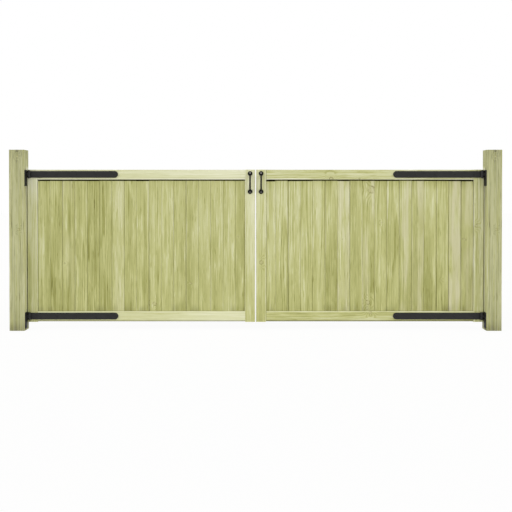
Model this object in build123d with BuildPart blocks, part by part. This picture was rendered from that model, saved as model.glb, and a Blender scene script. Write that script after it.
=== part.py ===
from build123d import *
import os
from math import asin, ceil, degrees, sqrt

# Double-leaf boarded fence gate with its two posts, in millimetres.
# The origin is the middle of the left post's foot, on the ground. +X runs to the right post,
# +Y away from the front, +Z up. The left half is modelled and the right half mirrors it.

# Posts
post_side = 100.0
post_height = 1190.0
post_arris = 5.0

# Leaves and the gaps round them
leaf_width = 1508.5
leaf_height = 1010.0
leaf_thickness = 45.0
leaf_setback = 50.0  # the leaf's front behind the posts' front
ground_clearance = 51.0
hinge_gap = 6.0  # post to hinge stile
meeting_gap = 7.0  # between the two meeting stiles

# Frame members, rebated from the front for the boards
stile_face = 66.0
top_rail_face = 65.0
bottom_rail_face = 68.0
member_arris = 3.0
lip_width = 12.0  # of the back lip that the boards lie against
top_horn = 1.0  # stile end above the top rail
bottom_horn = 3.0  # stile end below the bottom rail
drip_round = 6.0  # lower front edge of the bottom rail

# Tongued boards
board_cover = 82.0
board_thickness = 18.0
board_setback = 6.0  # the boards' front behind the frame's front
board_joint = 1.0  # open joint between boards
board_bevel = 2.0
board_head_gap = 7.0  # boards stand this far short of the top rail
tongue_thickness = 6.0
tongue_length = 7.0
tongue_play = 0.3
least_board_share = 0.15  # a narrower last board joins the one before it

# Hinge plates on the posts, with their pins
plate_width = 42.0
plate_height = 105.0
plate_thickness = 5.0
plate_top_reach = 6.0  # plate above the band
pin_offset = 20.0  # post face to pin axis
pin_radius = 6.0
pin_play = 0.3
pin_head_radius = 9.0
pin_head_height = 4.0
pin_tail = 4.0  # pin below the lower eye
lug_height = 16.0
lug_radius = 9.0

# Bands on the leaves
band_reach = 587.0  # pin axis to tip
band_height = 44.0
band_thickness = 5.0
band_rise = 2.0  # band's middle above the rail's middle
roll_slit = 0.8  # where the rolled eye closes on the band
fork_play = 1.0  # past the eyes, at the fork's root

# Pull handles on the meeting stiles
disc_radius = 15.5
disc_thickness = 4.0
disc_spacing = 120.0
handle_drop = 26.0  # upper disc's middle below the leaf's top
grip_radius = 5.5
grip_inset = 9.0  # where the grip's leg meets the leaf's face, from the disc's middle
grip_standoff = 31.0  # leaf face to the grip's middle
grip_bend = 16.0
grip_lean_share = 0.65  # how far the legs lean in, as a share of the standoff

# Cuts run past the faces they open by this much
overrun = 2.0

# Places that follow from the sizes
post_inner_x = post_side / 2
leaf_hinge_x = post_inner_x + hinge_gap
leaf_free_x = leaf_hinge_x + leaf_width
middle_plane = Plane.YZ.offset(leaf_free_x + meeting_gap / 2)

leaf_front_y = leaf_setback - post_side / 2
leaf_back_y = leaf_front_y + leaf_thickness
board_front_y = leaf_front_y + board_setback
lip_front_y = board_front_y + board_thickness
lip_thickness = leaf_back_y - lip_front_y
leaf_mid_y = (leaf_front_y + leaf_back_y) / 2
lip_mid_y = (lip_front_y + leaf_back_y) / 2
board_mid_y = (board_front_y + lip_front_y) / 2

leaf_bottom_z = ground_clearance
leaf_top_z = leaf_bottom_z + leaf_height
top_rail_mid_z = leaf_top_z - top_horn - top_rail_face / 2
bottom_rail_mid_z = leaf_bottom_z + bottom_horn + bottom_rail_face / 2

panel_left_x = leaf_hinge_x + stile_face
panel_right_x = leaf_free_x - stile_face
panel_width = panel_right_x - panel_left_x

bore_radius = pin_radius + pin_play
eye_radius = bore_radius + band_thickness
pin_x = post_inner_x + pin_offset
pin_y = leaf_front_y - eye_radius
plate_mid_y = pin_y + lug_radius - plate_width / 2
band_tip_x = pin_x + band_reach
band_mid_z = {
    "upper": top_rail_mid_z + band_rise,
    "lower": bottom_rail_mid_z + band_rise,
}


def stile(outer_x, inward):
    """A full-height frame upright. Its rebated edge looks to inward, which is 1 or -1 along X."""
    with BuildPart() as piece:
        with BuildSketch(Plane.XY.offset(leaf_bottom_z)) as section:
            with Locations((outer_x + inward * stile_face / 2, leaf_mid_y)):
                Rectangle(stile_face, leaf_thickness)
            with Locations((outer_x + inward * (stile_face + lip_width) / 2, lip_mid_y)):
                Rectangle(stile_face + lip_width, lip_thickness)
            corners = section.vertices().group_by(Axis.Y)
            fillet(corners[0] + corners[-1], member_arris)
        extrude(amount=leaf_height)
    return piece


def rail(mid_z, face, inward, outer_round):
    """A rail between the stiles, its ends stepped over their back lips. Its rebate looks to inward along Z."""
    with BuildPart() as piece:
        with BuildSketch(Plane.YZ.offset(panel_left_x)) as section:
            with Locations((leaf_mid_y, mid_z)):
                Rectangle(leaf_thickness, face)
            with Locations((lip_mid_y, mid_z + inward * lip_width / 2)):
                Rectangle(lip_thickness, face + lip_width)
            outer_to_inner = section.vertices().group_by(Axis.Z)[::inward]
            outer_front = outer_to_inner[0].sort_by(Axis.Y)[0]
            outer_back = outer_to_inner[0].sort_by(Axis.Y)[-1]
            inner_front = section.vertices().group_by(Axis.Y)[0].sort_by(Axis.Z)[::inward][-1]
            inner_back = outer_to_inner[-1].sort_by(Axis.Y)[-1]
            fillet(outer_front, outer_round)
            fillet([outer_back, inner_front, inner_back], member_arris)
        extrude(amount=panel_width)
        lip_room = lip_thickness + overrun
        for end_x in (panel_left_x + lip_width / 2, panel_right_x - lip_width / 2):
            with Locations((end_x, lip_front_y + lip_room / 2, mid_z)):
                Box(lip_width, lip_room, 2 * (face + lip_width), mode=Mode.SUBTRACT)
    return piece


def hinge_plate(mid_z):
    """The plate on the post's inner face, its lug, and the headed pin that the band turns on."""
    plate_mid_z = mid_z + band_height / 2 + plate_top_reach - plate_height / 2
    seat = band_height / 2 + pin_play
    crown = seat + pin_head_height
    tail = -band_height / 2 - pin_tail
    with BuildPart() as piece:
        with BuildSketch(Plane.YZ.offset(post_inner_x)):
            with Locations((plate_mid_y, plate_mid_z)):
                Rectangle(plate_width, plate_height)
        extrude(amount=plate_thickness)
        with BuildSketch(Plane.XY.offset(mid_z - lug_height / 2)):
            with Locations((pin_x, pin_y)):
                Circle(lug_radius)
            with Locations((pin_x - pin_offset / 2, pin_y)):
                Rectangle(pin_offset, 2 * lug_radius)
        extrude(amount=lug_height)
        with BuildSketch(Plane((pin_x, pin_y, mid_z), x_dir=(1, 0, 0), z_dir=(0, -1, 0))):
            with BuildLine():
                Polyline(
                    (0, tail),
                    (0, crown),
                    (pin_head_radius, crown),
                    (pin_head_radius, seat),
                    (pin_radius, seat),
                    (pin_radius, tail),
                    close=True,
                )
            make_face()
        revolve(axis=Axis((pin_x, pin_y, mid_z), (0, 0, 1)))
    return piece


def band(mid_z):
    """The strap on the leaf: flat bar with a round tip, forked and rolled into two eyes at the pin."""
    roll_end = degrees(asin((bore_radius - roll_slit) / eye_radius))
    quarter_turn = 90
    roll_turn = 3 * quarter_turn + roll_end
    tip_radius = band_height / 2
    fork_start_x = pin_x - eye_radius - overrun
    lug_in_strap = sqrt(max(lug_radius**2 - bore_radius**2, 0))
    strap_front_y = leaf_front_y - band_thickness
    fork_cuts = (
        (pin_x + max(eye_radius, lug_radius) + fork_play, pin_y - eye_radius - overrun, strap_front_y),
        (pin_x + lug_in_strap + fork_play, strap_front_y - overrun, leaf_front_y + overrun),
    )
    with BuildPart() as piece:
        with BuildSketch(Plane((pin_x, pin_y, mid_z - band_height / 2))):
            with BuildLine():
                outside = CenterArc((0, 0), eye_radius, quarter_turn, roll_turn)
                inside = CenterArc((0, 0), bore_radius, quarter_turn, roll_turn)
                Line(outside @ 1, inside @ 1)
                Polyline(
                    inside @ 0,
                    (band_reach, bore_radius),
                    (band_reach, eye_radius),
                    outside @ 0,
                )
            make_face()
        extrude(amount=band_height)
        with BuildSketch(Plane.XZ.offset(-pin_y)):
            straight = band_reach - tip_radius + eye_radius
            with Locations((pin_x - eye_radius + straight / 2, mid_z)):
                Rectangle(straight, band_height)
            with Locations((band_tip_x - tip_radius, mid_z)):
                Circle(tip_radius)
        extrude(amount=eye_radius + overrun, both=True, mode=Mode.INTERSECT)
        for end_x, front_y, back_y in fork_cuts:
            with Locations(((fork_start_x + end_x) / 2, (front_y + back_y) / 2, mid_z)):
                Box(
                    end_x - fork_start_x,
                    back_y - front_y,
                    lug_height + 2 * pin_play,
                    mode=Mode.SUBTRACT,
                )
    return piece


with BuildPart() as post:
    with BuildSketch() as post_section:
        Rectangle(post_side, post_side)
        fillet(post_section.vertices(), post_arris)
    extrude(amount=post_height)

with BuildPart() as boards:
    board_count = ceil(panel_width / board_cover - least_board_share)
    joints_x = [panel_left_x + number * board_cover for number in range(1, board_count)]
    last_width = panel_right_x - joints_x[-1]
    foot_z = bottom_rail_mid_z + bottom_rail_face / 2
    head_z = top_rail_mid_z - top_rail_face / 2 - board_head_gap
    groove_depth = board_joint / 2 + tongue_length
    with BuildSketch(Plane.XY.offset(foot_z)) as board_plan:
        with Locations(*[(x - board_cover / 2, board_mid_y) for x in joints_x]):
            Rectangle(board_cover - board_joint, board_thickness)
        with Locations((panel_right_x - last_width / 2, board_mid_y)):
            Rectangle(last_width - board_joint, board_thickness)
        chamfer(board_plan.vertices(), board_bevel)
        with Locations(*[(x + groove_depth / 2, board_mid_y) for x in joints_x]):
            Rectangle(groove_depth, tongue_thickness + 2 * tongue_play, mode=Mode.SUBTRACT)
        with Locations(*[(x + (tongue_length - board_joint) / 2, board_mid_y) for x in joints_x]):
            Rectangle(tongue_length, tongue_thickness)
    extrude(amount=head_z - foot_z)

with BuildPart() as handle:
    handle_x = leaf_free_x - stile_face / 2
    upper_disc_z = leaf_top_z - handle_drop
    lower_disc_z = upper_disc_z - disc_spacing
    foot_y = leaf_front_y + grip_radius
    grip_y = leaf_front_y - grip_standoff
    grip_lean = grip_lean_share * grip_standoff
    foot_lean = grip_lean_share * grip_radius
    upper_leg_z = upper_disc_z - grip_inset
    lower_leg_z = lower_disc_z + grip_inset
    with BuildSketch(Plane.XZ.offset(-leaf_front_y)):
        with Locations((handle_x, upper_disc_z), (handle_x, lower_disc_z)):
            Circle(disc_radius)
    extrude(amount=disc_thickness)
    with BuildLine() as grip_route:
        FilletPolyline(
            (handle_x, foot_y, upper_leg_z + foot_lean),
            (handle_x, grip_y, upper_leg_z - grip_lean),
            (handle_x, grip_y, lower_leg_z + grip_lean),
            (handle_x, foot_y, lower_leg_z - foot_lean),
            radius=grip_bend,
        )
    with BuildSketch(Plane(origin=grip_route.line @ 0, z_dir=grip_route.line % 0)):
        Circle(grip_radius)
    sweep(path=grip_route.line)
    split(bisect_by=Plane.XZ.offset(-leaf_front_y), keep=Keep.TOP)

left_half = {
    "post": post,
    "hinge_stile": stile(leaf_hinge_x, 1),
    "meeting_stile": stile(leaf_free_x, -1),
    "top_rail": rail(top_rail_mid_z, top_rail_face, -1, member_arris),
    "bottom_rail": rail(bottom_rail_mid_z, bottom_rail_face, 1, drip_round),
    "boards": boards,
    "handle": handle,
}
for level, mid_z in band_mid_z.items():
    left_half[f"{level}_hinge_plate"] = hinge_plate(mid_z)
    left_half[f"{level}_band"] = band(mid_z)

os.makedirs("parts", exist_ok=True)
for name, left in left_half.items():
    left.part.label = f"left_{name}"
    export_step(left.part, f"parts/left_{name}.step")
    with BuildPart() as right:
        mirror(left.part, about=middle_plane)
    right.part.label = f"right_{name}"
    export_step(right.part, f"parts/right_{name}.step")
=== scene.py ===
import math
import random

import bpy
from mathutils import Euler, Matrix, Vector


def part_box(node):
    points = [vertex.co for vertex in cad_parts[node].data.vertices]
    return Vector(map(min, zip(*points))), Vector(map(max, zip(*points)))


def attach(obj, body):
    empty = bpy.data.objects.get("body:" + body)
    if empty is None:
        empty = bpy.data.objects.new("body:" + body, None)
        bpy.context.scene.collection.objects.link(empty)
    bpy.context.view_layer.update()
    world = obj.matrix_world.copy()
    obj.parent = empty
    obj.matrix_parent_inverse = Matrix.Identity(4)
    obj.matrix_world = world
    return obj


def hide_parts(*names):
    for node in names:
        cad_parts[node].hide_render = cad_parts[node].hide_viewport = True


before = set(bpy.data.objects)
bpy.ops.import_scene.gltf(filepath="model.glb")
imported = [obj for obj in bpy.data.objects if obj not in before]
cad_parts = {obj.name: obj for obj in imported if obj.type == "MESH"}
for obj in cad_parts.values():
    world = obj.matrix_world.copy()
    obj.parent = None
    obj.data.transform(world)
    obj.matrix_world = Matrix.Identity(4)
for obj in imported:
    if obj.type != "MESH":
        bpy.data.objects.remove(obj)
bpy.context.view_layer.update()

# Double-leaf boarded gate, in metres, in the frame of its solids: origin at the left post's foot,
# +X to the right post, +Y away from the front, +Z up.

sides = ("left", "right")
levels = ("upper", "lower")

# Places read from the solids
left_post_low, left_post_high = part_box("left_post")
right_post_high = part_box("right_post")[1]
gate_middle_x = (left_post_low.x + right_post_high.x) / 2
post_front_y = left_post_low.y
stile_low, stile_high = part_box("left_hinge_stile")
leaf_front_y = stile_low.y
leaf_top_z = stile_high.z
bottom_rail_foot_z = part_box("left_bottom_rail")[0].z


class Wire:
    """An output socket in a finish's nodes. Sums written on wires add Math nodes beside them."""

    def __init__(self, tree, socket=None):
        self.tree = tree
        self.socket = socket

    def node(self, kind, inputs, output=0, **settings):
        """Adds a node: its settings first, then the values or wires of its sockets."""
        made = self.tree.nodes.new("ShaderNode" + kind)
        for setting, value in settings.items():
            if setting == "stops":
                fill_ramp(made.color_ramp, value)
            else:
                setattr(made, setting, value)
        for place, value in inputs.items():
            if isinstance(value, Wire):
                self.tree.links.new(value.socket, made.inputs[place])
            else:
                made.inputs[place].default_value = value
        return Wire(self.tree, made.outputs[output]) if made.outputs else None

    def maths(self, operation, *values):
        return self.node("Math", dict(enumerate(values)), operation=operation)

    def __add__(self, other):
        return self.maths("ADD", self, other)

    def __sub__(self, other):
        return self.maths("SUBTRACT", self, other)

    def __rsub__(self, other):
        return self.maths("SUBTRACT", other, self)

    def __mul__(self, other):
        return self.maths("MULTIPLY", self, other)

    def __truediv__(self, other):
        return self.maths("DIVIDE", self, other)

    def __pow__(self, other):
        return self.maths("POWER", self, other)

    def __rpow__(self, other):
        return self.maths("POWER", other, self)

    def __abs__(self):
        return self.maths("ABSOLUTE", self)

    __radd__ = __add__
    __rmul__ = __mul__

    def larger(self, other):
        return self.maths("MAXIMUM", self, other)

    def fraction(self):
        return self.maths("FRACT", self)

    def rises(self, low, high):
        """0 below low, 1 above high, smooth between them."""
        ends = {"Value": self, "From Min": low, "From Max": high}
        return self.node("MapRange", ends, interpolation_type="SMOOTHSTEP")

    def stretched(self, factors):
        return self.node("VectorMath", {0: self, 1: factors}, operation="MULTIPLY")

    def shifted(self, offset):
        """This place moved by a vector or a wire."""
        return self.node("VectorMath", {0: self, 1: offset}, operation="ADD")

    def along(self, direction):
        return self.node("VectorMath", {0: self, 1: direction}, output="Value", operation="DOT_PRODUCT")

    def length(self):
        return self.node("VectorMath", {0: self}, output="Value", operation="LENGTH")

    def noise(self, grain, detail=2.0, output=0):
        """Noise with so many waves per metre along each axis."""
        inputs = {"Vector": self.stretched(grain), "Scale": 1.0, "Detail": detail}
        return self.node("TexNoise", inputs, output=output)

    def tinted(self, colour, amount):
        """This colour mixed with another."""
        inputs = {0: amount, 6: self, 7: (*colour, 1.0)}
        return self.node("Mix", inputs, output=2, data_type="RGBA")

    def axis(self, name):
        return self.node("SeparateXYZ", {0: self}, output=name)

    def feeds(self, shader, socket):
        self.tree.links.new(self.socket, shader.inputs[socket])


def fill_ramp(ramp, stops):
    while len(ramp.elements) < len(stops):
        ramp.elements.new(1.0)
    for element, (position, colour) in zip(ramp.elements, stops):
        element.position = position
        element.color = (*colour, 1.0)


def new_finish(name):
    """A material, a wire to start its nodes from, and its shader."""
    finish = bpy.data.materials.new(name)
    finish.use_nodes = True
    shader = finish.node_tree.nodes["Principled BSDF"]
    return finish, Wire(finish.node_tree), shader


# Timber, each piece cut from a log of its own, with the pith at x = y = 0 and z along it
ring_width = 0.0055
ring_unevenness = 2.5  # in rings
ring_wander = 0.013
latewood_share = 0.17
knot_rise = 0.35  # how steeply a branch climbs from the pith
knot_swell = 0.016  # how far the rings bend round a knot
knot_swell_falloff = 0.14
knot_lobes = 1.1  # in knot radii
knot_rings = 4
far_off = 50.0  # in knot radii, for a board without that knot
knots_on_board = 2  # at most
log_length = 40
usual_lean = 0.005  # of a cut against its log, in radians

# Waves per metre across the log, twice, and along it
wander_grain = (3.0, 3.0, 1.6)
ring_grain = (40.0, 40.0, 0.7)
band_grain = (30.0, 30.0, 1.1)
streak_grain = (150.0, 150.0, 3.2)
fibre_grain = (900.0, 900.0, 18.0)
cloud_grain = (15.0, 15.0, 3.2)
patch_grain = (34.0, 34.0, 4.5)
tick_grain = (190.0, 190.0, 11.0)
mottle_grain = (80.0, 80.0, 55.0)

# How much each of them changes the tone
band_depth = 0.08
streak_depth = 0.16
fibre_depth = 0.13
cloud_depth = 0.20
patch_depth = 0.07
tick_depth = 0.13
latewood_depth = 0.15
halo_paleness = 0.02

# Wear and a painted highlight on arrises, painted shade on what faces down, and surface
# arrises are worn paler and carry a painted highlight
arris_wear_and_highlight = 0.06
# painted shade on faces that look down
painted_underside_shade = 0.55
timber_roughness = 0.60
timber_specular = 0.25
relief_depth = 0.0012
relief_strength = 0.45

# Linear colours of the treated pine, placed by their red
timber_shades = (
    (0.10, (0.100, 0.092, 0.018)),
    (0.30, (0.300, 0.300, 0.085)),
    (0.45, (0.450, 0.450, 0.178)),
    (0.53, (0.530, 0.530, 0.232)),
    (0.60, (0.600, 0.600, 0.320)),
    (0.70, (0.700, 0.700, 0.445)),
    (0.85, (0.850, 0.840, 0.660)),
)
knot_shade = (0.570, 0.545, 0.290)
knot_rim_shade = (0.200, 0.180, 0.045)
blush_shade = (0.620, 0.590, 0.390)
grey_shade = (0.470, 0.465, 0.340)
# the dark colour of real grime and of painted shade
grime_and_shade_colour = (0.030, 0.026, 0.006)


class Cut:
    """Where in its log a piece of timber was cut, its knots and how it is toned."""

    def __init__(self, name, centre, runs_along, tone, pith, lean=usual_lean, knots=()):
        draw = random.Random(name)
        turn = {"x": (0, -math.pi / 2, 0), "z": (0, 0, 0)}[runs_along]
        tilt = Euler((draw.uniform(-lean, lean), draw.uniform(-lean, lean), 0))
        self.rotation = (tilt.to_matrix() @ Euler(turn).to_matrix()).to_euler()
        place = Vector((pith[0], -pith[1], draw.uniform(0, log_length)))
        self.location = place - self.rotation.to_matrix() @ Vector(centre)
        self.tone = tone
        self.knots = [self.knot_frame(point, radius) for point, radius in knots]

    def log_place(self, point):
        return self.rotation.to_matrix() @ Vector(point) + self.location

    def knot_frame(self, point, radius):
        """A point on the knot, and the two directions across it, divided by its radius."""
        start = self.log_place(point)
        angle = math.atan2(start.y, start.x)
        out = Vector((math.cos(angle), math.sin(angle), knot_rise)).normalized()
        across = Vector((-math.sin(angle), math.cos(angle), 0))
        return start, across / radius, out.cross(across) / radius

    def knot_place(self, number, point):
        """The point's place across a knot, in knot radii."""
        if number >= len(self.knots):
            return Vector((far_off, far_off, 0))
        start, across, up = self.knots[number]
        rest = self.log_place(point) - start
        return Vector((rest.dot(across), rest.dot(up), 0))


def timber_finish(name, weather, cut=None, contrast=1.0, grey=0.0):
    """Green treated pine. With no cut given, the piece's mesh carries its own as attributes.

    The weather gives how much paler the timber is at a place, painted highlights and light among it, and how
    stained, painted shade among it.
    """
    finish, sheet, shader = new_finish(name)
    place = sheet.node("TexCoord", {}, output="Object")
    facing = sheet.node("TexCoord", {}, output="Normal")
    if cut is None:
        log = sheet.node("Attribute", {}, output="Vector", attribute_name="log")
        knots = [
            sheet.node("Attribute", {}, output="Vector", attribute_name=f"knot_{number}").length()
            for number in range(knots_on_board)
        ]
        tone = sheet.node("Attribute", {}, output="Fac", attribute_name="tone")
    else:
        log = sheet.node("Mapping", {"Vector": place, "Location": cut.location, "Rotation": cut.rotation})
        knots = []
        for start, across, up in cut.knots:
            rest = log.shifted(-start)
            knots.append((rest.along(across) ** 2 + rest.along(up) ** 2) ** 0.5)
        tone = cut.tone

    # Growth rings that wander along the log and swell round knots
    wander = log.noise(wander_grain, 1.0, output=1).shifted((-0.5, -0.5, -0.5))
    bent = log.shifted(wander.stretched((ring_wander, ring_wander, 0)))
    radius = bent.stretched((1, 1, 0)).length()
    halo = 0.0
    for knot in knots:
        swell = math.e ** (knot * knot * -knot_swell_falloff)
        radius = radius + knot_swell * swell
        halo = halo + swell
    uneven = log.noise(ring_grain, 1.0)
    phase = (radius / ring_width + uneven * ring_unevenness).fraction()
    latewood = phase.rises(0.45, 0.88) * (1 - phase.rises(0.92, 1.0))

    # Long straight streaks, short dark ticks, and the treatment's clouds and pale patches
    band = log.noise(band_grain, 2.0)
    streak = log.noise(streak_grain, 2.0)
    fibre = log.noise(fibre_grain, 2.0)
    cloud = log.noise(cloud_grain, 2.0)
    ragged = (log.noise(patch_grain, 4.0) * 0.7 + streak * 0.3).rises(0.50, 0.60)
    fleck = log.noise(tick_grain, 1.0)
    tick = fleck.rises(0.61, 0.73) - 0.6 * (1 - fleck.rises(0.27, 0.38))
    variation = band_depth * (band.rises(0.3, 0.7) - 0.5) + streak_depth * (streak - 0.5)
    variation = variation + fibre_depth * (fibre - 0.5) + cloud_depth * (cloud - 0.5)
    variation = variation + patch_depth * (ragged - 0.5) - tick_depth * tick
    late = uneven.rises(0.25, 0.6) * latewood - latewood_share
    variation = variation - latewood_depth * late + halo_paleness * halo

    # Arrises worn paler and given a painted highlight, found where a surface faces between the piece's own
    # axes
    squareness = abs(facing.axis("X")).larger(abs(facing.axis("Y"))).larger(abs(facing.axis("Z")))
    paleness_and_light, stain_and_shade = weather(place, streak)
    shade = tone + contrast * variation + paleness_and_light + arris_wear_and_highlight * (1 - squareness.rises(0.86, 0.99))
    colour = sheet.node("ValToRGB", {0: shade}, stops=timber_shades)
    if grey:
        colour = colour.tinted(grey_shade, grey * streak.rises(0.2, 0.6))
    if cut is None:
        blush = sheet.node("Attribute", {}, output="Fac", attribute_name="blush")
        colour = colour.tinted(blush_shade, blush * band.rises(0.3, 0.6) * cloud.rises(0.35, 0.6))

    # Knots: a lobed heart with rings of its own, in a broken dark rim
    mottle = log.noise(mottle_grain, 3.0)
    for knot in knots:
        lobed = knot + knot_lobes * (mottle - 0.5)
        heart = 1 - lobed.rises(0.75, 1.05)
        growth = (lobed * knot_rings).fraction().rises(0.3, 0.9)
        rim = lobed.rises(0.6, 0.95) * (1 - lobed.rises(1.0, 1.35)) * mottle.rises(0.38, 0.56)
        darkened = (0.3 * heart * growth).larger(0.75 * rim)
        colour = colour.tinted(knot_shade, heart * 0.5).tinted(knot_rim_shade, darkened)

    # Painted shade on what faces down, and the stains and painted shade that the weather gives
    underside_shade = painted_underside_shade * (facing.axis("Z") * -1).rises(0.2, 0.9)
    colour.tinted(grime_and_shade_colour, underside_shade.larger(stain_and_shade)).feeds(shader, "Base Color")

    (timber_roughness + 0.2 * streak + 0.08 * latewood).feeds(shader, "Roughness")
    height = 0.5 * fibre + 0.3 * streak + 0.35 * latewood
    relief = sheet.node("Bump", {"Height": height, "Strength": relief_strength, "Distance": relief_depth})
    relief.feeds(shader, "Normal")
    shader.inputs["Specular IOR Level"].default_value = timber_specular
    return finish


# Iron and steel
peel_grain = (700, 700, 700)
peel_depth = 0.0004
peel_strength = 0.25
dull_grain = (26, 26, 26)
scuff_grain = (160, 160, 160)
rubbed_edge = 0.0015
dust_shade = (0.10, 0.095, 0.085)
rubbed_shade = (0.06, 0.058, 0.054)
spangle_grain = (900, 900, 900)
scratch_grain = (3000, 300, 300)
zinc_shades = ((0.35, (0.36, 0.35, 0.33)), (0.7, (0.52, 0.51, 0.49)))
scratch_shade = (0.10, 0.10, 0.09)
dull_zinc_shade = (0.06, 0.058, 0.055)
zinc_roughness = 0.42
dull_blur = 0.01


def coated_iron(name, shade, roughness, specular):
    """Black coat on iron: a fine orange-peel, dull patches, a little dust, and edges rubbed grey."""
    finish, sheet, shader = new_finish(name)
    place = sheet.node("TexCoord", {}, output="Object")
    peel = place.noise(peel_grain, 2.0)
    dull = place.noise(dull_grain, 3.0)
    scuff = place.noise(scuff_grain, 4.0).rises(0.62, 0.74)
    rounded = sheet.node("Bevel", {"Radius": rubbed_edge}, samples=6)
    facing = sheet.node("NewGeometry", {}, output="Normal")
    edge = (1 - rounded.along(facing)).rises(0.02, 0.25) * dull.rises(0.35, 0.65)
    grey = tuple(value * 1.6 + 0.004 for value in shade)
    base = sheet.node("ValToRGB", {0: dull}, stops=((0.3, shade), (0.75, grey)))
    base = base.tinted(dust_shade, scuff * 0.2).tinted(rubbed_shade, edge * 0.6)
    base.feeds(shader, "Base Color")
    (roughness + 0.22 * (dull - 0.5) + 0.08 * scuff - 0.1 * edge).feeds(shader, "Roughness")
    relief = sheet.node("Bump", {"Height": peel, "Strength": peel_strength, "Distance": peel_depth})
    relief.feeds(shader, "Normal")
    shader.inputs["Specular IOR Level"].default_value = specular
    return finish


def plated_steel(name, dull_below):
    """Dull zinc plate on a screw's head, darker in its scratches and below a height."""
    finish, sheet, shader = new_finish(name)
    place = sheet.node("TexCoord", {}, output="Object")
    spangle = place.noise(spangle_grain, 2.0)
    scratch = place.noise(scratch_grain, 2.0).rises(0.55, 0.7)
    base = sheet.node("ValToRGB", {0: spangle}, stops=zinc_shades)
    dulled = 1 - place.axis("Z").rises(dull_below - dull_blur, dull_below)
    base = base.tinted(scratch_shade, scratch * 0.5).tinted(dull_zinc_shade, dulled * 0.65)
    base.feeds(shader, "Base Color")
    (zinc_roughness + 0.2 * spangle + 0.15 * scratch).feeds(shader, "Roughness")
    shader.inputs["Metallic"].default_value = 1.0
    return finish


class Shell:
    """Corners and faces of one joined mesh, added as stacks of closed rings."""

    def __init__(self):
        self.corners = []
        self.faces = []

    def stack(self, rings):
        """Skins a stack of closed rings and caps its two ends."""
        first = len(self.corners)
        size = len(rings[0])
        for ring in rings:
            self.corners += ring
        for level in range(len(rings) - 1):
            here = first + level * size
            for corner in range(size):
                beside = (corner + 1) % size
                self.faces.append((here + corner, here + beside, here + size + beside, here + size + corner))
        last = first + (len(rings) - 1) * size
        self.faces.append(tuple(range(first + size - 1, first - 1, -1)))
        self.faces.append(tuple(range(last, last + size)))

    def piece(self, name, finish, slot, body, sharp_over):
        """The finished piece, with edges that turn by more than so many degrees left sharp."""
        mesh = bpy.data.meshes.new(name)
        mesh.from_pydata(self.corners, [], self.faces)
        mesh.shade_smooth()
        mesh.set_sharp_from_angle(angle=math.radians(sharp_over))
        mesh.materials.append(finish)
        made = bpy.data.objects.new(name, mesh)
        bpy.context.scene.collection.objects.link(made)
        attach(made, body)
        return made


# Boards: remade one by one, because real ones differ in length, joint, tone and grain
board_cover = 0.082
board_bevel = 0.002
tongue_thickness = 0.006
tongue_length = 0.0065
groove_slack = 0.0006
least_board_share = 0.15
board_steps = 14
face_columns = 6
head_scatter = 0.0008
proud_scatter = 0.0004
cup_range = (-0.0003, 0.0006)
pith_aside = 0.09
pith_range = (0.03, 0.1)  # before or behind the board's face
tone_scatter = 0.014
sharp_board_edge = 20  # degrees
small_knot_share = 0.18  # of the boards
small_knot_reach_share = 0.6  # of half a board's width
small_knot_range = (0.003, 0.006)

board_low, board_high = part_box("left_boards")
board_foot_z = board_low.z
board_head_z = board_high.z
board_front_y = board_low.y
board_back_y = board_high.y

# Joints that stand open and heads that stand low, counted from the hinge stile
open_joints = {
    "left": {
        2: 0.0014, 3: 0.0018, 5: 0.0008, 6: 0.0012, 7: 0.0014,
        9: 0.0024, 11: 0.0012, 12: 0.0030, 14: 0.0012,
    },
    "right": {
        1: 0.0044, 2: 0.0024, 3: 0.0024, 5: 0.0014, 6: 0.0024,
        7: 0.0016, 10: 0.0032, 12: 0.0024, 15: 0.0042,
    },
}
tight_joint = 0.0005
dark_joint = 0.25  # how much darker the timber is inside it, where it is grimy
joint_lean = 0.7  # how much wider or tighter a joint may be at its ends
stile_joint = 0.0014
low_heads = {
    "left": {
        0: 0.0020, 1: 0.0012, 2: 0.0015, 3: 0.0022, 4: 0.0022,
        5: 0.0005, 6: 0.0012, 7: 0.0010, 8: 0.0022,
    },
    "right": {
        0: 0.0038, 1: 0.0025, 2: 0.0016, 3: 0.0020, 4: 0.0015, 6: 0.0014,
        7: 0.0018, 8: 0.0008, 10: 0.0020, 13: 0.0025, 14: 0.0025, 16: 0.0045,
    },
}

# Tones and painted shadows under the top rail beside the hinge and beside the meeting stile, and boards that
# stand out from them
board_tones = {"left": (0.508, 0.550), "right": (0.549, 0.604)}
rail_shadows = {"left": (0.035, 0.035), "right": (0.14, 0.05)}
rail_shadow_share = 0.08  # of the boards' height
foot_fade = {"left": 0.05, "right": 0.105}
foot_fade_bend = 1.4
standing_out = {
    "left": {1: -0.03, 4: -0.05, 6: 0.045, 16: -0.01},
    "right": {0: -0.03, 3: -0.04, 10: 0.03, 11: -0.045},
}
blushing_boards = {
    "left": {2: 0.2, 6: 0.15},
    "right": {0: 0.4, 1: 0.75, 4: 0.5, 5: 0.55, 8: 0.45, 10: 0.5},
}
damp_grain = (16.0, 16.0, 5.0)
grimy_grain = (14.0, 14.0, 2.6)
damp_foot_height = 0.06
damp_foot = 0.03
damp_patch = 0.22
# painted shade: a contact shadow along each board's foot, and shade on its head under the top rail
shade_band = 0.004
foot_contact_shadow = 0.12
head_slot_shade = 0.25
joint_depth = 0.003
large_knots = {  # x, z and radius
    "left": ((0.898, 0.170, 0.011), (0.300, 0.440, 0.005)),
    "right": ((2.336, 0.930, 0.022), (2.313, 0.180, 0.014)),
}


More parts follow.
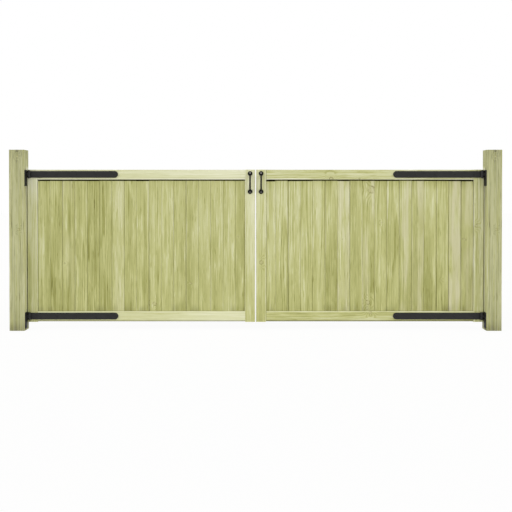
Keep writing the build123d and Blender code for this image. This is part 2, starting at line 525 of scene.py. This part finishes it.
def board_weather(place, streak):
    """Painted shade on the heads in the slot under the top rail, a painted contact shadow and damp patches
    along the foot, and grime in stretches of the joints.
    """
    y = place.axis("Y")
    z = place.axis("Z")
    patches = place.noise(damp_grain, 2.0).rises(0.48, 0.66)
    foot = (1 - z.rises(board_foot_z, board_foot_z + damp_foot_height)) * (damp_foot + damp_patch * patches)
    # a painted contact shadow along the foot, and painted shade on the head in the slot under the top rail
    edge = (1 - z.rises(board_foot_z + shade_band, board_foot_z + 2 * shade_band)) * foot_contact_shadow
    head = z.rises(board_head_z - shade_band, board_head_z) * head_slot_shade
    behind_front = y.rises(board_front_y + joint_depth / 5, board_front_y + joint_depth)
    before_back = 1 - y.rises(board_back_y - joint_depth, board_back_y - joint_depth / 5)
    grimy = 0.2 + 0.8 * place.noise(grimy_grain, 1.0).rises(0.38, 0.62)
    return -dark_joint * grimy * behind_front * before_back, foot + edge + head


def height_tone(side, z, rail_shadow):
    """Boards darken slowly towards the ground, and carry a painted shadow under the top rail."""
    share = (z - board_foot_z) / (board_head_z - board_foot_z)
    # painted shadow of the top rail over the boards' upper part
    under_rail = max(0, share - 1 + rail_shadow_share) / rail_shadow_share
    return -foot_fade[side] * (1 - share) ** foot_fade_bend - rail_shadow * under_rail


def board_section(start_x, end_x, has_groove, has_tongue, cup):
    """The board's outline seen from above, from its groove round by the front to its tongue and back."""
    mid_y = (board_front_y + board_back_y) / 2
    front = board_front_y
    back = board_back_y
    points = [(start_x, front + board_bevel)]
    for column in range(face_columns + 1):
        share = column / face_columns
        bow = cup * (1 - (2 * share - 1) ** 2)
        points.append((start_x + board_bevel + share * (end_x - start_x - 2 * board_bevel), front + bow))
    points.append((end_x, front + board_bevel))
    if has_tongue:
        half = tongue_thickness / 2
        tip_x = end_x + tongue_length
        points += [(end_x, mid_y - half), (tip_x, mid_y - half)]
        points += [(tip_x, mid_y + half), (end_x, mid_y + half)]
    points += [(end_x, back - board_bevel), (end_x - board_bevel, back)]
    points += [(start_x + board_bevel, back), (start_x, back - board_bevel)]
    if has_groove:
        half = tongue_thickness / 2 + groove_slack
        floor_x = start_x + tongue_length + groove_slack
        points += [(start_x, mid_y + half), (floor_x, mid_y + half)]
        points += [(floor_x, mid_y - half), (start_x, mid_y - half)]
    return points


def make_boards(side, finish):
    """All boards of one leaf as one mesh, each with its own place in its own log."""
    low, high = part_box(f"{side}_boards")
    draw = random.Random(f"{side} boards")
    hinge_x, inward = (low.x, 1) if side == "left" else (high.x, -1)
    width = high.x - low.x
    count = math.ceil(width / board_cover - least_board_share)
    gaps = [stile_joint] + [open_joints[side].get(number, tight_joint) / 2 for number in range(1, count)]
    lean_draw = random.Random(f"{side} joints")
    leans = [0.0] + [lean_draw.uniform(-joint_lean, joint_lean) for number in range(1, count)]
    first_tone, last_tone = board_tones[side]
    first_rail_shadow, last_rail_shadow = rail_shadows[side]
    flat_back_y = board_back_y - board_bevel
    wall = Shell()
    looks = []
    for number in range(count):
        last = number == count - 1
        start = number * board_cover + gaps[number]
        end = width if last else (number + 1) * board_cover - gaps[number + 1]
        head = board_head_z - low_heads[side].get(number, 0.0) - draw.uniform(0.0, head_scatter)
        proud = draw.uniform(-proud_scatter, proud_scatter)
        cup = draw.uniform(*cup_range)
        rings = []
        for step in range(board_steps + 1):
            rise = step / board_steps
            z = board_foot_z + (head - board_foot_z) * rise
            tilt = 2 * rise - 1
            near = start + gaps[number] * leans[number] * tilt
            far = end if last else end - gaps[number + 1] * leans[number + 1] * tilt
            section = board_section(near, far, number > 0, not last, cup)[::inward]
            rings.append([(hinge_x + inward * x, y + proud * (y < flat_back_y), z) for x, y in section])
        wall.stack(rings)

        centre = (hinge_x + inward * (start + end) / 2, board_front_y, (board_foot_z + head) / 2)
        reach = (end - start) / 2
        own_knots = [knot for knot in large_knots[side] if abs(knot[0] - centre[0]) < reach]
        knots = [((x, board_front_y, z), size) for x, z, size in own_knots]
        if draw.random() < small_knot_share:
            x = centre[0] + draw.uniform(-small_knot_reach_share, small_knot_reach_share) * reach
            z = draw.uniform(board_foot_z, head)
            knots.append(((x, board_front_y, z), draw.uniform(*small_knot_range)))
        pith = (draw.uniform(-pith_aside, pith_aside), draw.choice((-1, 1, 1)) * draw.uniform(*pith_range))
        tone = first_tone + (last_tone - first_tone) * number / count
        tone += draw.gauss(0, tone_scatter) + standing_out[side].get(number, 0.0)
        rail_shadow = first_rail_shadow + (last_rail_shadow - first_rail_shadow) * number / count
        cut = Cut(f"{side} board {number}", centre, "z", tone, pith, knots=knots)
        look = (cut, blushing_boards[side].get(number, 0.0), rail_shadow)
        looks += [look] * (len(wall.corners) - len(looks))
    piece = wall.piece(f"{side}_board_wall", finish, "board_timber", f"{side}_leaf", sharp_board_edge)
    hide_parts(f"{side}_boards")
    marked = list(zip(wall.corners, looks))
    mark(piece, "log", [cut.log_place(point) for point, (cut, blush, fade) in marked])
    for number in range(knots_on_board):
        places = [cut.knot_place(number, point) for point, (cut, blush, fade) in marked]
        mark(piece, f"knot_{number}", places)
    tones = [cut.tone + height_tone(side, point[2], fade) for point, (cut, blush, fade) in marked]
    mark(piece, "tone", tones)
    mark(piece, "blush", [blush for cut, blush, fade in looks])


def mark(piece, name, values):
    """Writes a number or a vector on each corner of a mesh, for its finish to read."""
    if isinstance(values[0], Vector):
        flat = [part for value in values for part in value]
        piece.data.attributes.new(name, "FLOAT_VECTOR", "POINT").data.foreach_set("vector", flat)
    else:
        piece.data.attributes.new(name, "FLOAT", "POINT").data.foreach_set("value", values)


board_timber = timber_finish("board_timber_grown", board_weather)
for side in sides:
    make_boards(side, board_timber)

# Frames keep their solids, each member with a log of its own
frame_pith = (0.03, 0.06)

# Tone, contrast, grey, and how much a stile fades towards the ground or a rail towards its hinge
frame_looks = {
    "left_hinge_stile": (0.665, 0.7, 0.15, 0.17),
    "left_meeting_stile": (0.705, 0.7, 0.0, 0.16),
    "left_top_rail": (0.765, 0.5, 0.0, 0.08),
    "left_bottom_rail": (0.745, 0.5, 0.0, 0.09),
    "right_hinge_stile": (0.680, 1.2, 0.10, 0.07),
    "right_meeting_stile": (0.645, 0.8, 0.0, 0.12),
    "right_top_rail": (0.615, 1.0, 0.0, 0.0),
    "right_bottom_rail": (0.545, 0.9, 0.0, 0.0),
}
frame_knots = {  # x, z and radius
    "right_top_rail": ((2.070, 0.998, 0.012), (2.256, 1.001, 0.005)),
    "right_bottom_rail": ((2.330, 0.110, 0.010),),
    "right_meeting_stile": ((1.606, 0.446, 0.012),),
    "right_hinge_stile": ((3.030, 0.690, 0.010),),
}

# Paler places: painted highlights along the edges beside the boards, painted light on the left hinge stile's
# head with a darker right one, and fades
# painted highlight along each member's arris beside the boards
edge_highlight = 0.05
edge_highlights = {
    "left_top_rail": 0.10,
    "left_bottom_rail": 0.0,
    "right_top_rail": 0.13,
    "right_bottom_rail": 0.16,
}
edge_highlight_width = 0.008
# painted light on the left hinge stile's head, and the right one darker
paler_heads = {"left_hinge_stile": 0.09, "right_hinge_stile": -0.09}
paler_head_range = (0.80, 0.99)
stile_fade_height = 0.9
rail_fade_length = 0.83  # from the meeting stile to the band's tip

# Painted shade on a bottom rail's foot, under the top rail's lower edge, in the rebates and on the meeting
# stile's arrises; stained corners at the meeting stile
# painted shade along each bottom rail's lower edge
rail_foot_shades = {"left": 0.55, "right": 0.75}
rail_foot_shade_range = (0.004, 0.010)
# painted shade in the slot under the top rail, at the meeting stile and at the hinge
slot_shade_at_meeting = 0.6
slot_shades_at_hinge = {"left": 0.5, "right": 0.2}
slot_change_range = (0.7, 0.95)  # from the meeting stile
slot_height = 0.003
open_corners = {"right_top_rail": 0.4, "right_bottom_rail": 0.25}
corner_joint = 0.006
# painted shade on the meeting stile's arris beside the gap
shaded_arris = 0.16
arris_range = (0.001, 0.006)
# painted shade in the rebate, behind the leaf's front
rebate_range = (0.004, 0.012)
lip_width = 0.012
lip_blur = 0.003
board_head_gap = 0.007


def frame_weather(node, boards_edge, far_edge, fade):
    """A member has a painted highlight along its edge beside the boards, painted shade in its rebate, under
    the top rail, along a bottom rail's foot and on a meeting stile's arris, and a stained open corner.

    The far edge is a stile's other edge, or a rail's end at the meeting stile.
    """
    side, kind = node.split("_", 1)
    is_rail = kind.endswith("rail")

    def weather(place, streak):
        y = place.axis("Y")
        z = place.axis("Z")
        from_edge = abs((z if is_rail else place.axis("X")) - boards_edge)
        from_far_edge = abs(place.axis("X") - far_edge)
        towards_hinge = from_far_edge.rises(0.0, rail_fade_length)
        # painted highlight along the arris beside the boards
        beside_boards = 1 - from_edge.rises(edge_highlight_width / 2, edge_highlight_width)
        paleness_and_light = edge_highlights.get(node, edge_highlight) * beside_boards
        if fade:
            paleness_and_light = paleness_and_light - fade * (towards_hinge if is_rail else 1 - z.rises(0.0, stile_fade_height))
        # painted light on the left hinge stile's head, and the right one darker
        if node in paler_heads:
            paleness_and_light = paleness_and_light + paler_heads[node] * z.rises(*paler_head_range)
        # painted shade in the rebate behind the boards
        behind_front = y.rises(*(leaf_front_y + depth for depth in rebate_range))
        before_back = 1 - y.rises(board_back_y + shade_band / 2, board_back_y + shade_band)
        stain_and_shade = behind_front * before_back * (1 - from_edge.rises(lip_width, lip_width + lip_blur))
        if node in open_corners:
            stain_and_shade = stain_and_shade.larger(open_corners[node] * (1 - from_far_edge.rises(0.0, corner_joint)))
        if not is_rail:
            above_foot = z.rises(board_foot_z - lip_width, board_foot_z)
            stain_and_shade = stain_and_shade * above_foot * (1 - z.rises(board_head_z, board_head_z + lip_width))
        # painted shade on the meeting stile's arris beside the gap
        if kind == "meeting_stile":
            stain_and_shade = stain_and_shade.larger(shaded_arris * (1 - from_far_edge.rises(*arris_range)))
        # painted shade in the slot under the top rail
        if kind == "top_rail":
            change = (slot_shades_at_hinge[side] - slot_shade_at_meeting) * from_far_edge.rises(*slot_change_range)
            in_slot = 1 - z.rises(boards_edge, boards_edge + slot_height)
            stain_and_shade = stain_and_shade.larger((slot_shade_at_meeting + change) * in_slot)
        # painted shade on the bottom rail's lower edge
        if kind == "bottom_rail":
            foot_shade = 1 - z.rises(*(bottom_rail_foot_z + height for height in rail_foot_shade_range))
            stain_and_shade = stain_and_shade.larger(rail_foot_shades[side] * foot_shade)
        return paleness_and_light, stain_and_shade

    return weather


def dress(node, finish):
    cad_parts[node].data.materials.clear()
    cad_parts[node].data.materials.append(finish)


for node, (tone, contrast, grey, fade) in frame_looks.items():
    low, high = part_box(node)
    side, kind = node.split("_", 1)
    runs_along = "x" if kind.endswith("rail") else "z"
    boards_low, boards_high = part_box(f"{side}_boards")
    edges = {
        "hinge_stile": boards_low.x if side == "left" else boards_high.x,
        "meeting_stile": boards_high.x if side == "left" else boards_low.x,
        "top_rail": board_head_z + board_head_gap,
        "bottom_rail": board_foot_z,
    }
    knots = [((x, leaf_front_y, z), size) for x, z, size in frame_knots.get(node, ())]
    cut = Cut(node, (low + high) / 2, runs_along, tone, frame_pith, knots=knots)
    if kind.endswith("rail"):
        far_edge = edges["meeting_stile"]
    else:
        far_edge = high.x if (kind == "meeting_stile") == (side == "left") else low.x
    weather = frame_weather(node, edges[kind], far_edge, fade)
    dress(node, timber_finish(f"{node}_timber", weather, cut, contrast, grey))

# Posts keep theirs too
post_tone = 0.472
post_contrast = 1.3
post_grey = 0.45
post_pith = (0.01, 0.02)
post_lean = 0.008
post_knots = ((0.006, 1.147, 0.006), (0.012, 0.667, 0.008))  # across from the middle, z and radius
foot_stain = 0.16
foot_stain_height = 0.25
top_stain = 0.05
top_stain_height = 0.12
drip_stain = 0.3
drip_length = 0.18
drip_blur = 0.01
dark_foot = 0.20
dark_top = 0.09
dark_end_length = 0.08
# paler behind the leaf's front: sheltered timber, and painted light where the gap shades it
gap_light_and_shelter = 0.42  # how much paler the inner face has stayed behind the leaf's front
gap_light_range = (-0.012, 0.004)  # from the leaf's front
gap_light_blur = 0.03
inner_face_range = (0.001, 0.003)


def post_weather(inner_x, plates):
    """Dark ends, rain drips from the hinge plates on the inner face, and paler timber behind the leaf,
    partly sheltered and partly painted light in the gap's shade.
    """
    top_z = left_post_high.z

    def weather(place, streak):
        y = place.axis("Y")
        z = place.axis("Z")
        foot = 1 - z.rises(0.0, foot_stain_height)
        top = z.rises(top_z - top_stain_height, top_z)
        stain_and_shade = (foot_stain * foot + top_stain * top) * (0.3 + 0.7 * streak.rises(0.3, 0.6))
        on_inner_face = 1 - abs(place.axis("X") - inner_x).rises(*inner_face_range)
        for low, high in plates:
            half_width = (high.y - low.y) / 2
            under = 1 - abs(y - (low.y + high.y) / 2).rises(half_width / 2, half_width)
            drip = z.rises(low.z - drip_length, low.z) * (1 - z.rises(low.z, low.z + drip_blur))
            stain_and_shade = stain_and_shade.larger(drip_stain * on_inner_face * under * drip)
        # painted light on the inner face in the gap behind the leaf's front
        behind_leaf = y.rises(*(leaf_front_y + depth for depth in gap_light_range))
        below_top = 1 - z.rises(leaf_top_z, leaf_top_z + gap_light_blur)
        dark = dark_foot * (1 - z.rises(0.0, dark_end_length))
        dark = dark + dark_top * z.rises(top_z - dark_end_length, top_z)
        return gap_light_and_shelter * on_inner_face * behind_leaf * below_top - dark, stain_and_shade

    return weather


for side in sides:
    node = f"{side}_post"
    low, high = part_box(node)
    centre = (low + high) / 2
    inner_x = high.x if side == "left" else low.x
    plates = [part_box(f"{side}_{level}_hinge_plate") for level in levels]
    knots = [((centre.x + x, post_front_y, z), size) for x, z, size in post_knots]
    cut = Cut("post", centre, "z", post_tone, post_pith, post_lean, knots)
    weather = post_weather(inner_x, plates)
    dress(node, timber_finish(f"{node}_timber", weather, cut, post_contrast, post_grey))

# Ironware keeps its solids, in two black coats
black_iron = coated_iron("black_iron_coat", shade=(0.0065, 0.0065, 0.006), roughness=0.6, specular=0.35)
handle_iron = coated_iron("handle_coat", shade=(0.005, 0.0048, 0.004), roughness=0.65, specular=0.18)
handle_low, handle_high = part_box("left_handle")
screw_steel = plated_steel("zinc_plated_steel", (handle_low.z + handle_high.z) / 2)
for side in sides:
    dress(f"{side}_handle", handle_iron)
    for level in levels:
        dress(f"{side}_{level}_band", black_iron)
        dress(f"{side}_{level}_hinge_plate", black_iron)

# Screws: pan heads with a cross recess
head_shares = ((1.0, -0.1), (1.0, 0.35), (0.90, 0.68), (0.66, 0.94))  # of radius and height
cross_arm_share = 0.48
cross_width_share = 0.13
cross_depth_share = 0.6
band_screw = (0.0050, 0.0026)  # radius and height
plate_screw = (0.0045, 0.0024)
handle_screw = (0.0042, 0.0018)
strap_thickness = 0.005
strap_screw_count = 5
strap_screw_spacing = 0.128
plate_thickness = 0.005
plate_screws = ((-0.009, 0.016), (0.008, 0.041))  # from the plate's middle, and above its lower end
disc_radius = 0.0155
disc_thickness = 0.004
handle_screw_offset = 0.0035  # outward from the disc's middle, clear of the grip
sharp_edge = 40  # degrees


def add_screw(shell, place, out, size, draw):
    """One screw head on a face that looks to out, turned as it happened to stop."""
    radius, height = size
    up = Vector((0, 0, 1))
    across = up.cross(out)
    turn = draw.uniform(0, math.pi)
    slant = math.atan2(cross_width_share, cross_arm_share)
    notch = cross_width_share * math.sqrt(2)
    arm = math.hypot(cross_arm_share, cross_width_share)
    spokes = []
    for quarter in range(4):
        start = turn + quarter * math.pi / 2
        spokes += [(start - slant, arm), (start + slant, arm), (start + math.pi / 4, notch)]

    def ring(rise, radius_shares):
        middle = place + out * (rise * height)
        return [
            middle + (across * math.cos(angle) + up * math.sin(angle)) * (share * radius)
            for (angle, cross), share in zip(spokes, radius_shares)
        ]

    cross = [share for angle, share in spokes]
    rings = [ring(rise, [share] * len(spokes)) for share, rise in head_shares]
    rings += [ring(1.0, cross), ring(1.0 - cross_depth_share, cross)]
    shell.stack(rings)


front = Vector((0, -1, 0))
post_screws = Shell()
screw_draw = random.Random("screws")
for side in sides:
    inward = 1 if side == "left" else -1
    leaf_screws = Shell()
    for level in levels:
        low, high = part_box(f"{side}_{level}_band")
        tip_x = high.x if side == "left" else low.x
        tip_radius = (high.z - low.z) / 2
        for number in range(strap_screw_count):
            x = tip_x - inward * (tip_radius + number * strap_screw_spacing)
            place = Vector((x, leaf_front_y - strap_thickness, (low.z + high.z) / 2))
            add_screw(leaf_screws, place, front, band_screw, screw_draw)
        low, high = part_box(f"{side}_{level}_hinge_plate")
        face_x = (low.x if side == "left" else high.x) + inward * plate_thickness
        for y, rise in plate_screws:
            place = Vector((face_x, (low.y + high.y) / 2 + y, low.z + rise))
            add_screw(post_screws, place, Vector((inward, 0, 0)), plate_screw, screw_draw)
    leaf_screws.piece(f"{side}_band_screws", black_iron, "black_iron", f"{side}_leaf", sharp_edge)

    low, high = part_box(f"{side}_handle")
    handle_screws = Shell()
    inset = disc_radius - handle_screw_offset
    for z in (low.z + inset, high.z - inset):
        place = Vector(((low.x + high.x) / 2, leaf_front_y - disc_thickness, z))
        add_screw(handle_screws, place, front, handle_screw, screw_draw)
    handle_screws.piece(f"{side}_handle_screws", screw_steel, "black_iron", f"{side}_leaf", sharp_edge)
post_screws.piece("hinge_plate_screws", black_iron, "black_iron", "posts", sharp_edge)


# Floor, light and camera
def backdrop_rays(start):
    """1 where the background is seen, straight or in a gloss or glass, and 0 where it only lights."""
    seen = start.node("LightPath", {}, output="Is Camera Ray")
    for ray in ("Is Glossy Ray", "Is Transmission Ray"):
        seen = seen.larger(start.node("LightPath", {}, output=ray))
    return seen


floor_reach = 30.0
floor_drop = 0.001
floor_glow_share = 0.94  # the rest is paint, which takes the shadows
floor_shade = (0.9, 0.9, 0.88, 1)
white = (1, 1, 1, 1)
floor_mesh = bpy.data.meshes.new("pale_floor")
floor_corners = [(-1, -1), (1, -1), (1, 1), (-1, 1)]
floor_mesh.from_pydata([(x * floor_reach, y * floor_reach, 0) for x, y in floor_corners], [], [(0, 1, 2, 3)])
floor = bpy.data.objects.new("pale_floor", floor_mesh)
floor.location = (gate_middle_x, 0, -floor_drop)
bpy.context.scene.collection.objects.link(floor)

pale = bpy.data.materials.new("pale_floor_paint")
pale.use_nodes = True
pale.node_tree.nodes.clear()
start = Wire(pale.node_tree)
paint = start.node("BsdfDiffuse", {"Color": floor_shade})
glow = start.node("Emission", {"Color": white, "Strength": 1.0})
blend = start.node("MixShader", {0: backdrop_rays(start) * floor_glow_share, 1: paint, 2: glow})
start.node("OutputMaterial", {"Surface": blend})
floor_mesh.materials.append(pale)

sky_level = 0.44
world = bpy.data.worlds.new("studio")
bpy.context.scene.world = world
world.use_nodes = True
world.node_tree.nodes.clear()
start = Wire(world.node_tree)
strength = sky_level + (1 - sky_level) * backdrop_rays(start)
sky = start.node("Background", {"Color": white, "Strength": strength})
start.node("OutputWorld", {"Surface": sky})

# Two broad lamps far off, with their angles in degrees
lamp_azimuths = (-63, 63)
lamp_elevation = 28
lamp_spread = 50
lamp_level = 0.48  # at 1, a white surface that faces a lamp would render white
for side, azimuth in zip(sides, lamp_azimuths):
    name = f"{side}_soft_light"
    lamp = bpy.data.lights.new(name, "SUN")
    lamp.angle = math.radians(lamp_spread)
    lamp.energy = lamp_level * math.pi
    holder = bpy.data.objects.new(name, lamp)
    holder.rotation_euler = (math.radians(90 - lamp_elevation), 0, math.radians(azimuth))
    bpy.context.scene.collection.objects.link(holder)

camera_aside = 0.0027  # of the gate's middle
camera_distance = 5.08
camera_height = 0.904
camera_tilt = 0.7  # degrees down
camera_data = bpy.data.cameras.new("portrait")
camera_data.sensor_width = 36
camera_data.lens = 53.92
camera_data.shift_y = -0.1041
camera = bpy.data.objects.new("portrait", camera_data)
camera.location = (gate_middle_x + camera_aside, -camera_distance, camera_height)
camera.rotation_euler = (math.radians(90 - camera_tilt), 0, 0)
bpy.context.scene.collection.objects.link(camera)
bpy.context.scene.camera = camera
bpy.context.scene.view_settings.view_transform = "Standard"
